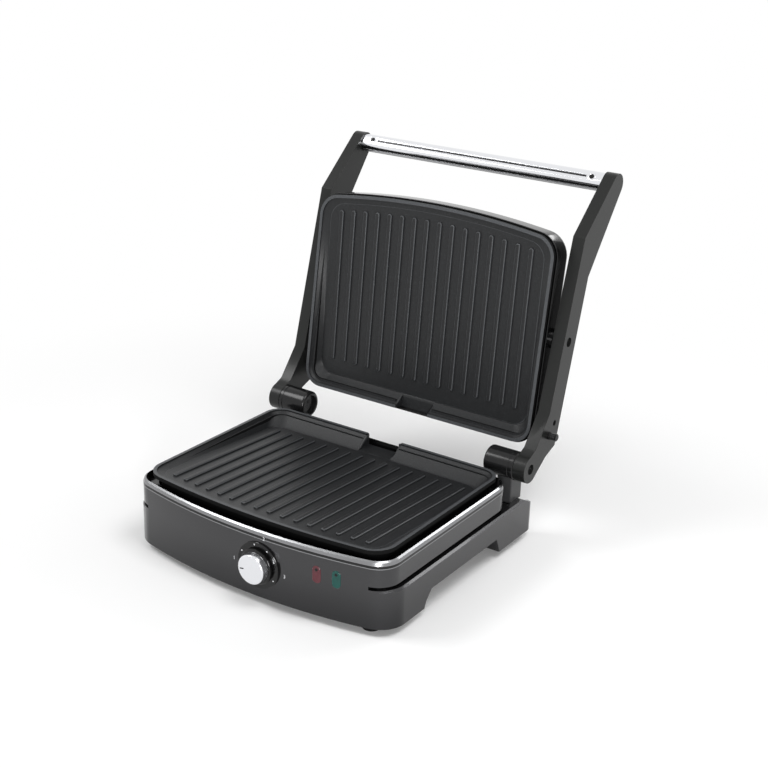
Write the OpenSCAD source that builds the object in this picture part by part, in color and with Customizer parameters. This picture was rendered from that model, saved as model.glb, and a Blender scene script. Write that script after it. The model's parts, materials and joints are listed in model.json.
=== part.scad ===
// Electric contact grill with two ribbed plates, a floating lid on two bent arms and a bar handle.
// X runs across the grill, Y from the knob side to the hinge side, Z up from the table.
// It stands open: the arms are raised by lid_arm_open and the lid has turned by lid_open.

/* [Plates] */
// Width of a plate
plate_w = 288; // [240:1:320]
// Front edge of a plate at its middle, from the plate centre line
plate_front = 114; // [100:1:125]
// Hinge side edge of a plate, from the plate centre line
plate_rear = 111; // [100:1:125]
// Radius of the bowed front edge of a plate
plate_bow_r = 900; // [500:10:2000]
// Corner radius of a plate
plate_corner_r = 20; // [10:1:30]
// Height of the lower plate's rim above the table
rim_z = 84; // [80:0.5:95]
// Gap between the two rims with the lid shut
plate_gap = 0.4; // [0.2:0.1:2]
// Width of the flat rim round a plate
rim_w = 3.5; // [2:0.5:6]
// Thickness of the rim flange
flange_t = 4; // [3:0.5:6]
// Thickness of the lower plate's hanging skirt
plate_skirt_t = 3.5; // [2.5:0.5:5]
// Thickness of the cooking surface
cook_t = 4; // [3:0.5:6]
// Depth of the cooking surface below the rim at the front
cook_front_drop = 2.5; // [2.5:0.5:5]
// Depth of the cooking surface below the rim at the hinge side
cook_rear_drop = 13; // [8:0.5:14]
// Depth of the plate body behind its rim
plate_body_d = 19; // [18:0.5:22]
// Run of the slanted wall at the front
wall_run_front = 6; // [4:0.5:10]
// Run of the slanted wall at the sides
wall_run_side = 9; // [6:0.5:12]
// Run of the slanted wall at the hinge side
wall_run_rear = 19; // [12:0.5:24]
// Number of ribs on a plate
rib_count = 16; // [8:1:18]
// Space between the side edge and the middle of the outermost rib
rib_side_gap = 27; // [20:0.5:40]
// Width of a rib
rib_w = 4.6; // [3:0.1:6]
// Height of a rib
rib_h = 2.2; // [1:0.1:2.5]
// Space between the front edge and a rib's end
rib_front_gap = 17; // [13:0.5:25]
// Space between the hinge side edge and a rib's end
rib_rear_gap = 32; // [28:0.5:40]
// Width of the grease spout in the hinge side
spout_w = 40; // [25:1:60]

/* [Base] */
// Space between a plate's side edge and the outside of the base
plate_margin = 8.5; // [7:0.5:12]
// How far the skirt stands out of the upper wall
skirt_out = 4; // [3:0.5:8]
// Space between a plate's front edge and the front of the base
front_margin = 12; // [10:0.5:20]
// Space between a plate's hinge side edge and the rear wall of the base
rear_margin = 6; // [5.5:0.5:8]
// Radius of the bowed front wall
base_bow_r = 600; // [400:10:1500]
// Front corner radius of the upper wall
base_corner_f = 24; // [16:1:36]
// Rear corner radius of the upper wall
base_corner_r = 26; // [12:1:30]
// Front corner radius of the skirt
skirt_corner_f = 27; // [16:1:36]
// Rear corner radius of the skirt
skirt_corner_r = 12; // [9:0.5:14]
// Height of the top lip
base_top = 77; // [75:0.5:79]
// Height of the lower edge of the skirt
base_bottom = 7; // [5:0.5:10]
// Wall thickness of the moulding
wall = 3; // [2:0.5:4]
// Top of the skirt
skirt_top = 48; // [46:0.5:50]
// Height of the groove above the skirt
groove_h = 3.5; // [2:0.5:5]
// Depth of the groove
groove_d = 6; // [3:0.5:7]
// How far the groove reaches round the front corners
groove_reach = 18.5; // [12:0.5:30]
// Height of the deck that carries the lower plate
deck_z = 71; // [70:0.5:74]
// Top of the arch between the front and rear feet
arch_z = 24.5; // [20:0.5:26]
// Front end of the arch at its top, from the plate centre line
arch_front = 38; // [20:1:60]
// Distance of the arch's rear end from the rear wall
arch_rear_gap = 34; // [31:0.5:45]
// Run of the slanted ends of the arch
arch_slant = 9; // [4:0.5:14]
// How far the skirt reaches behind the rear wall
skirt_behind = 43; // [39:0.5:47]
// How far the legs under the hinges reach behind the rear wall
leg_behind = 31; // [29:0.5:32]
// Width of a leg under a hinge
leg_w = 22; // [20:1:28]
// Space between the skirt's fins and the arms
fin_gap = 1.5; // [0.5:0.5:3]
// Top of the legs under the hinges
leg_top = 46; // [44:0.5:48]
// Height at which the skirt ends at the rear
skirt_end_z = 36.5; // [30:0.5:37]
// Thickness of the bottom cover
cover_t = 2.5; // [1.5:0.5:3]
// Radius of a rubber foot
foot_r = 9; // [6:0.5:11]

/* [Controls] */
// Place of the thermostat knob across the front
knob_x = 19.5; // [0:0.5:40]
// Height of the knob
knob_z = 42; // [36:0.5:46]
// Radius of the bright knob cap
cap_r = 15; // [12:0.5:18]
// Depth of the bright knob cap
cap_d = 7; // [4:0.5:12]
// Radius of the black knob skirt
knob_r = 18; // [16:0.5:20]
// Depth of the black knob skirt
knob_d = 4; // [2:0.5:6]
// Radius of the dial plate behind the knob
dial_r = 24; // [21:0.5:26]
// Thickness of the dial plate
dial_t = 1.2; // [0.8:0.1:2]
// Radius of the thermostat bushing
bushing_r = 4.5; // [4:0.1:6]
// Radius of the thermostat shaft
shaft_r = 3; // [2:0.1:3.4]
// Distance of the green lamp from the side of the base
lamp_side = 49.5; // [42:0.5:54]
// Distance between the two lamps
lamp_gap = 20; // [14:0.5:30]
// Height of the middle of the lamps
lamp_z = 51; // [46:0.5:56]
// Width of a lamp
lamp_w = 9; // [6:0.5:12]
// Height of a lamp
lamp_h = 18; // [12:0.5:20]
// How far a lamp stands out of the panel
lamp_out = 0.8; // [0.4:0.1:1.5]

/* [Hinge and arms] */
// Distance of the hinge axis from the rear wall of the base
hinge_behind = 16; // [15.5:0.5:18]
// Height of the hinge axis
hinge_z = 85; // [83:0.5:88]
// Radius of the hinge barrels
barrel_r = 15; // [12:0.5:15]
// Length of a hinge barrel
barrel_l = 34.5; // [27:0.5:44]
// Width of a hinge post
post_w = 17; // [12:0.5:22]
// Depth of a hinge post
post_d = 22; // [16:0.5:24]
// Radius of the hinge pins
pin_r = 5; // [3:0.1:6]
// Radial clearance of a running fit
fit = 0.05; // [0.02:0.01:0.1]
// Side clearance between moving parts
side_gap = 0.3; // [0.2:0.05:0.6]
// Space between a plate's side edge and an arm
arm_gap = 5.5; // [5:0.5:8]
// Thickness of an arm
arm_t = 13.5; // [10:0.5:16]
// Radius of an arm's eye at the hinge
eye_r = 14.5; // [12:0.5:15]
// Steepness of the long bar of an arm as it stands open
bar_angle = 74.5; // [70:0.5:78]
// Distance from the hinge axis to the front face of the bar
bar_front = 18.5; // [16:0.5:20]
// Depth of the bar
bar_d = 27; // [24:0.5:30]
// Start of the bar's front face along the bar
bar_low = 57; // [50:1:70]
// End of the bar's front face along the bar
bar_high = 237; // [200:1:260]
// Radius of an arm's tip
tip_r = 11.5; // [10:0.5:11.8]
// Distance from the hinge axis to the handle
handle_reach = 303; // [280:1:303]
// Angle of the handle seen from the hinge as the arms stand open
handle_angle = 61; // [59:0.5:63]
// Radius of the handle
handle_r = 9.8; // [8:0.1:11]
// Distance of a handle screw from its arm
handle_screw_in = 13.5; // [8:0.5:30]
// Steepness of the face of the handle
handle_tilt = 49; // [30:1:70]
// Radius of the release button
button_r = 4; // [3:0.1:5]
// How far the release button stands out
button_out = 9.5; // [5:0.5:12]
// How far the release button goes in
button_travel = 4; // [2:0.5:5]

/* [Lid] */
// How far the arms are raised from the shut lid
lid_arm_open = 109; // [0:1:109]
// How far the lid is turned from the shut lid
lid_open = 98; // [0:1:98]
// Depth of the lid behind its rim plane
lid_d = 33; // [30:0.5:36]
// How far the lid moulding stands out round the plate
lid_edge = 1.75; // [1:0.25:3]
// Wall thickness of the lid moulding
lid_wall = 2.5; // [2:0.5:4]
// Pivot axis of the lid behind its rim plane
pivot_d = 22; // [20:0.5:22]
// Radius of the lid pivot pins
pivot_r = 4; // [3:0.1:5]
// Radius of the pivot boss on the side of the lid
boss_r = 10.5; // [8:0.5:10.5]

/* [Drip tray] */
// Width of the drip tray
tray_w = 110; // [60:1:200]
// Length of the drip tray
tray_l = 90; // [50:1:92]
// Height of the drip tray
tray_h = 9.8; // [7:0.1:9.8]
// Wall of the drip tray
tray_wall = 2; // [1:0.5:3]

/* [Hidden] */
$fn = 64;

MOULD = "#4b4b4d";
BLACK = "#1e1e20";
GREY = "#5a5a5c";
STEEL = "#b8babd";
COAT = "#3a3b3d";
RUBBER = "#161616";

hair = 0.1;
arc_steps = 8;
bow_steps = 16;
floor_t = wall;
plate_half = plate_w / 2;
base_half = plate_half + plate_margin;
skirt_half = base_half + skirt_out;
across = 2 * skirt_half;
base_front = plate_front + front_margin;
base_rear = plate_rear + rear_margin;
skirt_rear = base_rear + skirt_behind;
leg_rear = base_rear + leg_behind;
arch_rear = base_rear - arch_rear_gap;
hinge_y = base_rear + hinge_behind;
arm_in = plate_half + arm_gap;
arm_out = arm_in + arm_t;
fin_in = arm_in - fin_gap;
leg_in = fin_in - leg_w;
post_in = fin_in - post_w;
barrel_in = arm_in - barrel_l;
handle_screw_x = arm_in - handle_screw_in;
groove_start = base_half - groove_reach;
lamp_green_x = base_half - lamp_side;
lamp_red_x = lamp_green_x - lamp_gap;
rib_pitch = (plate_w - 2 * rib_side_gap) / (rib_count - 1);
arch_foot = arch_front + arch_slant;
lip_r = 4;
edge_r = 2;
skirt_front = base_front - 0.5;

// The slope of the cooking surface
cook_front_y = -plate_front + rim_w + wall_run_front;
cook_rear_y = plate_rear - rim_w - wall_run_rear;
cook_slope = atan((cook_rear_drop - cook_front_drop) / (cook_rear_y - cook_front_y));
body_inset = 8;
body_wall = 4;
screw_r = 1.6;
head_r = 3.6;
head_t = 2;
plate_screw_x = plate_half - 49;
plate_screw_y = [54 - plate_front, plate_rear - 56];
reflector_t = 1;
heater_r = 3.3;
heater_half = plate_screw_x - 15;
heater_bend = 22;
pan_depth = rim_z - deck_z + 20;
pan_inset = body_inset - 2.5;
boss_screw_r = 5;

// Open spaces inside the base
deck_under = deck_z - wall;
floor_z = arch_z + cover_t + floor_t;
band_top = skirt_top + groove_h + 4;
band_bottom = skirt_top - 4;
cover_screw_x = base_half - 15.5;
cover_margin = 8;
cover_front = -arch_front + 5;
cover_rear = arch_rear - 5;
foot_front_y = -base_front + 31;
foot_x = base_half - 24.5;
rear_foot_x = leg_in + 13;
rear_foot_y = leg_rear - 23;

// Hinge, pivot and handle
handle_y = hinge_y + handle_reach * cos(handle_angle);
handle_z = hinge_z + handle_reach * sin(handle_angle);
shut_rim_z = rim_z + plate_gap;
shut_pivot_z = shut_rim_z + pivot_d;
shut_pivot_dir = 180 - atan((shut_pivot_z - hinge_z) / hinge_y);
pivot_reach = norm([hinge_y, shut_pivot_z - hinge_z]);
pivot_dir = shut_pivot_dir - lid_arm_open;
pivot_y = hinge_y + pivot_reach * cos(pivot_dir);
pivot_z = hinge_z + pivot_reach * sin(pivot_dir);
pin_end_gap = 3.5;
boss_out = arm_in - side_gap;

// Stop levers on the inner ends of the pivot pins
lever_in = plate_half - body_inset + 0.5;
lever_t = 2.4;
lever_l = 55;
lever_w = 9;
lever_lift = 2;
boss_in = lever_in + lever_t + 0.4;
lid_inside = lid_d - lid_wall - 1;
upper_depth = plate_body_d + 3;
handle_split = 2.5;

// Side view of an arm: a point along the bar from the hinge axis, and behind it
function on_bar(along, behind) = [
    hinge_y + along * cos(bar_angle) + behind * sin(bar_angle),
    hinge_z + along * sin(bar_angle) - behind * cos(bar_angle)
];
bar_back = bar_front + bar_d;
// Points of an arm's outline, each along the bar and behind its axis
heel_low = [11.5, bar_back - 17];
heel_high = [23, bar_back - 0.5];
back_low = [38, bar_back];
back_high = [bar_high - 38, bar_back - 1.5];
knee = [44.6, 13.1];
neck = [20.5, 2.7];
// Directions from the handle's axis to the edges of the arm's upper part
tip_front_dir = 134;
tip_back_dir = -36;
button_at = on_bar(34, bar_front + 8);
button_in = arm_in + arm_t / 2 + 1.5;
arm_hole_at = on_bar(47, bar_front + 15.4);

// Knob, panel and lamps
panel_y = -base_front;
knob_back = panel_y - dial_t - side_gap;
knob_front = knob_back - knob_d - cap_d;
nut_t = 2.2;
nut_r = 7;
gland_x = -85;
gland_z = 58;
gland_r = 6;

// Tray
tray_slot_gap = 0.3;
tray_face_t = 2.7;
tray_face_y = base_rear + tray_slot_gap;

// The origin is under the middle of the outline of the standing grill
front_most = knob_front;
rear_most = handle_y + tip_r;
mid_y = (front_most + rear_most) / 2;
mid_x = button_out / 2;

module placed(c) {
    color(c) translate([-mid_x, -mid_y, 0]) children();
}

// Points of an arc about [cx, cy]
function arc(cx, cy, r, a0, a1, n) =
    [for (i = [0:n]) let (a = a0 + (a1 - a0) * i / n) [cx + r * cos(a), cy + r * sin(a)]];

// A rounded rectangle whose front edge is bowed: s half width, f front, b bow radius, r rear edge,
// cf and cr the front and rear corner radii
function bowed(s, f, b, r, cf, cr) =
    let (
        cx = s - cf,
        cy = -f + b - sqrt((b - cf) * (b - cf) - cx * cx),
        beta = asin(cx / (b - cf))
    )
    concat(
        arc(0, b - f, b, -90 - beta, -90 + beta, bow_steps),
        arc(cx, cy, cf, -90 + beta, 0, arc_steps),
        arc(s - cr, r - cr, cr, 0, 90, arc_steps),
        arc(cr - s, r - cr, cr, 90, 180, arc_steps),
        arc(-cx, cy, cf, 180, 270 - beta, arc_steps)
    );

// Outline of a plate, drawn in by d on every side
function plate_line(d) = bowed(
    plate_half - d, plate_front - d, plate_bow_r - d, plate_rear - d,
    max(plate_corner_r - d, 3), max(plate_corner_r - d, 3)
);

// Outline of the base's upper wall and of its skirt, drawn in by d
function base_line(d) = bowed(
    base_half - d, base_front - d, base_bow_r - d, base_rear - d,
    base_corner_f - d, base_corner_r - d
);
function skirt_line(d, front, rear) = bowed(
    skirt_half - d, front - d, base_bow_r - d, rear - d, skirt_corner_f - d, skirt_corner_r - min(d, 4)
);

module slab(line, z0, z1) {
    translate([0, 0, z0]) linear_extrude(z1 - z0) polygon(line);
}

// A shape drawn in the YZ plane, from x0 to x1
module side_prism(x0, x1, points) {
    translate([x0, 0, 0]) rotate([90, 0, 90]) linear_extrude(x1 - x0) polygon(points);
}

module box(x0, x1, y0, y1, z0, z1) {
    translate([x0, y0, z0]) cube([x1 - x0, y1 - y0, z1 - z0]);
}

module both_sides() {
    children();
    mirror([1, 0, 0]) children();
}

module rod_x(x0, x1, y, z, r) {
    translate([x0, y, z]) rotate([0, 90, 0]) cylinder(h = x1 - x0, r = r);
}

// A cylinder along -Y from y1 to y0, y0 being nearer the front
module rod_y(y0, y1, x, z, r) {
    translate([x, y1, z]) rotate([90, 0, 0]) cylinder(h = y1 - y0, r = r);
}

// ---- Plates ----

// Places children on the cooking surface of the lower plate, z = 0 at the surface
module on_cook() {
    translate([0, cook_front_y, rim_z - cook_front_drop])
        rotate([-cook_slope, 0, 0]) translate([0, -cook_front_y, 0]) children();
}

module cook_pocket() {
    hull() {
        slab(plate_line(rim_w), rim_z, rim_z + 2);
        on_cook() linear_extrude(hair) polygon(bowed(
            plate_half - rim_w - wall_run_side, -cook_front_y, plate_bow_r - 20, cook_rear_y,
            plate_corner_r - rim_w, plate_corner_r - rim_w
        ));
    }
}

module rib(x) {
    front = -plate_front + x * x / (2 * plate_bow_r) + rib_front_gap + rib_w / 2;
    rear = plate_rear - rib_rear_gap - rib_w / 2;
    on_cook() translate([0, 0, -hair]) linear_extrude(rib_h + hair) union() {
        translate([x, front]) circle(d = rib_w, $fn = 24);
        translate([x, rear]) circle(d = rib_w, $fn = 24);
        translate([x - rib_w / 2, front]) square([rib_w, rear - front]);
    }
}

module plate_bosses(depth) {
    for (x = [-plate_screw_x, plate_screw_x], y = plate_screw_y)
        difference() {
            translate([x, y, rim_z - depth]) cylinder(h = depth, r = boss_screw_r);
            on_cook() translate([x, y, -cook_t / 2 + 20]) cube([14, 14, 40], center = true);
            translate([x, y, rim_z - depth - hair]) cylinder(h = 6, r = screw_r);
        }
}

// The lower plate with its rim at rim_z; depth is how far its screw bosses hang down
module plate(depth) {
    difference() {
        union() {
            slab(plate_line(0), rim_z - flange_t, rim_z);
            slab(plate_line(body_inset), rim_z - plate_body_d, rim_z - flange_t);
        }
        cook_pocket();
        intersection() {
            slab(plate_line(body_inset + body_wall), rim_z - plate_body_d - 1, rim_z);
            on_cook() translate([0, 0, -50 - cook_t]) cube([2 * plate_w, 2 * plate_w, 100], center = true);
        }
        box(-spout_w / 2, spout_w / 2, cook_rear_y - 2, plate_rear + 1,
            rim_z - cook_rear_drop, rim_z + 1);
    }
    for (i = [0:rib_count - 1]) rib((i - (rib_count - 1) / 2) * rib_pitch);
    plate_bosses(depth);
    difference() {
        box(-spout_w / 2 - 3, spout_w / 2 + 3, cook_rear_y, plate_rear,
            rim_z - cook_rear_drop - 3, rim_z - flange_t);
        box(-spout_w / 2, spout_w / 2, cook_rear_y - 1, plate_rear + 1,
            rim_z - cook_rear_drop, rim_z);
        cook_pocket();
    }
}

module heater_bar(x0, y0, x1, y1) {
    length = norm([x1 - x0, y1 - y0]);
    translate([x0, y0, 0]) rotate([0, 90, atan2(y1 - y0, x1 - x0)]) cylinder(h = length, r = heater_r);
}

// A U-shaped tubular heater lying against the underside of the plate
module heater_loop() {
    front = plate_screw_y[0] + 14;
    rear = plate_screw_y[1] - 5;
    on_cook() translate([0, 0, -cook_t - heater_r]) {
        heater_bar(-heater_half + heater_bend, front, heater_half - heater_bend, front);
        for (side = [-1, 1])
            heater_bar(side * heater_half, front + heater_bend, side * heater_half, rear);
        translate([heater_half - heater_bend, front + heater_bend, 0]) rotate([0, 0, -90])
            rotate_extrude(angle = 90) translate([heater_bend, 0]) circle(r = heater_r, $fn = 24);
        translate([-heater_half + heater_bend, front + heater_bend, 0]) rotate([0, 0, 180])
            rotate_extrude(angle = 90) translate([heater_bend, 0]) circle(r = heater_r, $fn = 24);
    }
}

// Screws that hold the reflector to the plate, heads at this depth below the rim
module reflector_screws(depth) {
    for (x = [-plate_screw_x, plate_screw_x], y = plate_screw_y) {
        translate([x, y, rim_z - depth - reflector_t - head_t]) cylinder(h = head_t, r = head_r);
        translate([x, y, rim_z - depth - reflector_t]) cylinder(h = reflector_t + 5, r = screw_r);
    }
}

module screw_holes(depth) {
    for (x = [-plate_screw_x, plate_screw_x], y = plate_screw_y)
        translate([x, y, rim_z - depth - reflector_t - 1]) cylinder(h = reflector_t + 2, r = screw_r);
}

module lower_plate() placed(COAT) {
    plate(pan_depth);
    difference() {
        slab(plate_line(0), deck_z, rim_z - flange_t);
        slab(plate_line(plate_skirt_t), deck_z - 1, rim_z);
        box(-spout_w / 2, spout_w / 2, plate_rear - 10, plate_rear + 1, rim_z - cook_rear_drop, rim_z);
    }
}

module lower_heater() placed(STEEL) heater_loop();

// A pan under the lower plate, hung from the deck by its rim
module lower_reflector() placed(STEEL) difference() {
    slab(plate_line(pan_inset), rim_z - pan_depth - reflector_t, deck_under);
    slab(plate_line(pan_inset + reflector_t), rim_z - pan_depth, deck_under + 1);
    screw_holes(pan_depth);
}

module lower_plate_screws() placed(STEEL) reflector_screws(pan_depth);

// ---- Base ----

module arch_cut() {
    side_prism(-across, across, [
        [-arch_foot - 3, -1], [-arch_foot - 3, base_bottom], [-arch_foot, 15],
        [-arch_front, arch_z], [arch_rear, arch_z], [arch_rear + 8, base_bottom], [arch_rear + 8, -1]
    ]);
}

module base_shell() {
    hull() {
        slab(base_line(edge_r), base_bottom, base_top - lip_r);
        slab(base_line(0), base_bottom + 1, base_top - lip_r);
        slab(base_line(1.2), base_bottom + 1, base_top - 1.2);
        slab(base_line(lip_r - 1), base_bottom + 1, base_top);
    }
    difference() {
        hull() {
            slab(skirt_line(edge_r, skirt_front, skirt_rear), base_bottom, skirt_top);
            slab(skirt_line(0, skirt_front, skirt_rear), base_bottom + 1, skirt_top - edge_r);
        }
        box(-leg_in, leg_in, base_rear - 4, skirt_rear + 1, base_bottom - 1, skirt_top + 1);
        both_sides() box(leg_in - 1, fin_in, leg_rear, skirt_rear + 1, 0, skirt_top + 1);
        both_sides() box(leg_in - 1, fin_in, base_rear, skirt_rear, leg_top, skirt_top + 1);
        side_prism(-across, across, [
            [leg_rear - 12, skirt_top + 1], [leg_rear - 12, skirt_top], [leg_rear + 5, skirt_end_z + 2.5],
            [skirt_rear, skirt_end_z], [skirt_rear + 1, skirt_end_z], [skirt_rear + 1, skirt_top + 1]
        ]);
    }
}

module base_hollow() {
    // Above the deck, inside the lip
    slab(base_line(wall), deck_z, base_top + 1);
    // Between the deck and the groove
    slab(base_line(wall), band_top, deck_under);
    // Behind the groove, where the wall is thicker at the sides
    slab(bowed(base_half - groove_d - wall, base_front - wall, base_bow_r - wall, base_rear - wall,
        base_corner_f - wall, base_corner_r - wall), band_bottom - hair, band_top + hair);
    // Inside the skirt, above the floor
    slab(skirt_line(wall, base_front, base_rear), floor_z, band_bottom);
    // The box behind the front wall
    intersection() {
        slab(skirt_line(wall, base_front, base_rear), base_bottom + wall, floor_z + hair);
        side_prism(-across, across, [
            [-base_front - 5, 0], [-arch_foot - 6, 0], [-arch_foot - 3.2, 16],
            [-arch_front - 3, floor_z], [-arch_front - 3, floor_z + 1], [-base_front - 5, floor_z + 1]
        ]);
    }
    // The legs under the hinges
    both_sides() box(leg_in + wall, fin_in + 2, arch_rear + 11, leg_rear - wall,
        base_bottom + wall, leg_top - 2 * wall);
    // Access opening and the rebate of the bottom cover
    box(-cover_screw_x + cover_margin, cover_screw_x - cover_margin,
        cover_front + cover_margin, cover_rear - cover_margin, arch_z, floor_z + 1);
    box(-cover_screw_x - 5, cover_screw_x + 5, cover_front, cover_rear, arch_z - 1, arch_z + cover_t);
}

module lamp_place(x) {
    turn = asin(x / base_bow_r);
    translate([x, base_bow_r - base_front - base_bow_r * cos(turn), lamp_z])
        rotate([0, 0, turn]) rotate([90, 0, 0]) children();
}

module lamp_shape(grow) {
    straight = (lamp_h - lamp_w) / 2;
    union() {
        translate([0, straight]) circle(d = lamp_w + 2 * grow, $fn = 40);
        translate([0, -straight]) circle(d = lamp_w + 2 * grow, $fn = 40);
        translate([-lamp_w / 2 - grow, -straight]) square([lamp_w + 2 * grow, 2 * straight]);
    }
}

module cover_screw_places() {
    for (x = [-cover_screw_x, cover_screw_x], y = [cover_front + 4, cover_rear - 4])
        translate([x, y, arch_z]) children();
}

module base_housing() placed(MOULD) {
    difference() {
        base_shell();
        base_hollow();
        arch_cut();
        // Under the middle between the legs
        box(-leg_in, leg_in, arch_rear, skirt_rear, 0, arch_z);
        // The opening for the lower plate's body and its spout
        slab(plate_line(body_inset - 1.5), deck_under - 1, deck_z + 1);
        box(-spout_w / 2 - 4, spout_w / 2 + 4, cook_rear_y, base_rear - wall, deck_under - 1, deck_z + 1);
        // The groove round the sides, above the skirt
        difference() {
            slab(skirt_line(-2, base_front, skirt_rear), skirt_top, skirt_top + groove_h);
            slab(base_line(groove_d), skirt_top - 1, skirt_top + groove_h + 1);
            box(-groove_start, groove_start, -base_front - 10, skirt_rear, 0, base_top);
            box(-leg_in, leg_in, base_rear - 25, skirt_rear + 5, 0, base_top);
        }
        rod_y(panel_y - 5, panel_y + 12, knob_x, knob_z, bushing_r);
        lamp_place(lamp_red_x) translate([0, 0, -12]) linear_extrude(20) lamp_shape(0);
        lamp_place(lamp_green_x) translate([0, 0, -12]) linear_extrude(20) lamp_shape(0);
        // Slot of the drip tray
        box(-tray_w / 2 - tray_slot_gap, tray_w / 2 + tray_slot_gap, base_rear - wall - 1, base_rear + 1,
            floor_z, floor_z + tray_h + 2 * tray_slot_gap);
        rod_y(base_rear - 10, base_rear + 1, gland_x, gland_z, gland_r);
        cover_screw_places() cylinder(h = 12, r = screw_r);
    }
    cover_screw_places() translate([0, 0, cover_t]) difference() {
        cylinder(h = 12, r = 3.6);
        translate([0, 0, -1]) cylinder(h = 12, r = screw_r);
    }
}

module bottom_cover() placed(BLACK) difference() {
    box(-cover_screw_x - 5 + 0.2, cover_screw_x + 5 - 0.2, cover_front + 0.2, cover_rear - 0.2,
        arch_z, arch_z + cover_t);
    cover_screw_places() translate([0, 0, -1]) cylinder(h = cover_t + 2, r = screw_r);
}

module cover_screws() placed(STEEL) cover_screw_places() {
    translate([0, 0, -head_t]) cylinder(h = head_t, r = head_r);
    cylinder(h = cover_t + 8, r = screw_r);
}

module rubber_feet() placed(RUBBER) both_sides() {
    translate([foot_x, foot_front_y, 0]) cylinder(h = base_bottom, r = foot_r);
    translate([rear_foot_x, rear_foot_y, 0]) cylinder(h = base_bottom, r = foot_r);
}

// ---- Controls ----

module dial_plate() placed(BLACK) difference() {
    rod_y(panel_y - dial_t, panel_y + 3, knob_x, knob_z, dial_r);
    slab(base_line(0), 0, base_top);
    rod_y(panel_y - 5, panel_y + 5, knob_x, knob_z, bushing_r);
}

module thermostat() placed(STEEL) difference() {
    union() {
        intersection() {
            box(knob_x - 15, knob_x + 15, panel_y, panel_y + wall + 22, knob_z - 11.5, knob_z + 7);
            slab(base_line(wall + hair), 0, base_top);
        }
        rod_y(panel_y - dial_t - nut_t, panel_y + 8, knob_x, knob_z, bushing_r);
    }
    rod_y(knob_back - knob_d, panel_y + 14, knob_x, knob_z, shaft_r + fit);
}

module thermostat_nut() placed(STEEL) difference() {
    translate([knob_x, panel_y - dial_t, knob_z]) rotate([90, 0, 0]) cylinder(h = nut_t, r = nut_r, $fn = 6);
    rod_y(knob_back - knob_d, panel_y, knob_x, knob_z, bushing_r);
}

module lamp(x, c) placed(c) {
    lamp_place(x) translate([0, 0, -wall - 2]) linear_extrude(wall + 2 + lamp_out) lamp_shape(-0.02);
}

module lamp_red() lamp(lamp_red_x, "#a8323f");
module lamp_green() lamp(lamp_green_x, "#1f7a63");

// The light box behind the two lamps
module lamp_holder() placed(BLACK) difference() {
    intersection() {
        box(lamp_red_x - 12, lamp_green_x + 12, panel_y, panel_y + 19.5,
            lamp_z - lamp_h / 2 - 2.5, lamp_z + lamp_h / 2 + 2.5);
        slab(base_line(wall + hair), 0, base_top);
    }
    for (x = [lamp_red_x, lamp_green_x])
        lamp_place(x) translate([0, 0, -wall - 6]) linear_extrude(40) lamp_shape(hair);
}

module cord_gland() placed(BLACK) difference() {
    union() {
        rod_y(base_rear - wall - 5, base_rear + 2, gland_x, gland_z, gland_r);
        rod_y(base_rear, base_rear + 2.5, gland_x, gland_z, gland_r + 3);
        rod_y(base_rear - wall - 2, base_rear - wall, gland_x, gland_z, gland_r + 2);
    }
    rod_y(base_rear - 20, base_rear + 20, gland_x, gland_z, gland_r / 2);
}

module knob_shaft() placed(STEEL)
    rod_y(knob_back - knob_d + 0.5, panel_y + 13, knob_x, knob_z, shaft_r);

module knob_skirt() placed(BLACK) difference() {
    rod_y(knob_back - knob_d, knob_back, knob_x, knob_z, knob_r);
    rod_y(knob_back - nut_t - 0.2, knob_back + 1, knob_x, knob_z, nut_r + 1);
    rod_y(knob_back - knob_d + 0.5, knob_back + 1, knob_x, knob_z, shaft_r);
}

module knob_cap() placed(STEEL) translate([knob_x, knob_back - knob_d, knob_z]) rotate([90, 0, 0])
    rotate_extrude() polygon([[0, 0], [cap_r + 0.6, 0], [cap_r, cap_d - 1], [cap_r - 1, cap_d], [0, cap_d]]);

// ---- Drip tray ----

module drip_tray() placed(BLACK) {
    half = tray_w / 2;
    z0 = floor_z + tray_slot_gap;
    difference() {
        box(-half, half, tray_face_y - tray_l, tray_face_y, z0, z0 + tray_h);
        box(-half + tray_wall, half - tray_wall, tray_face_y - tray_l + tray_wall,
            tray_face_y - tray_wall, z0 + tray_wall, z0 + tray_h + 1);
    }
    box(-half - 4, half + 4, tray_face_y, tray_face_y + tray_face_t, z0 - 2.5, z0 + tray_h + 1.5);
    box(-18, 18, tray_face_y + tray_face_t, tray_face_y + tray_face_t + 9, z0 + 1, z0 + 4);
}

// ---- Hinges and arms ----

module hinge_bracket() {
    difference() {
        union() {
            rod_x(barrel_in, boss_out, hinge_y, hinge_z, barrel_r);
            box(post_in, fin_in, hinge_y - post_d / 2, hinge_y + post_d / 2, leg_top, hinge_z);
        }
        rod_x(barrel_in - 1, arm_in + 1, hinge_y, hinge_z, pin_r);
        rod_x(barrel_in - 1, barrel_in + 4, hinge_y, hinge_z, barrel_r - 4);
    }
}

module hinge_bracket_right() placed(GREY) hinge_bracket();
module hinge_bracket_left() placed(GREY) mirror([1, 0, 0]) hinge_bracket();

module hinge_pin() rod_x(barrel_in + 4, arm_out - pin_end_gap, hinge_y, hinge_z, pin_r);
module hinge_pin_right() placed(STEEL) hinge_pin();
module hinge_pin_left() placed(STEEL) mirror([1, 0, 0]) hinge_pin();

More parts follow.
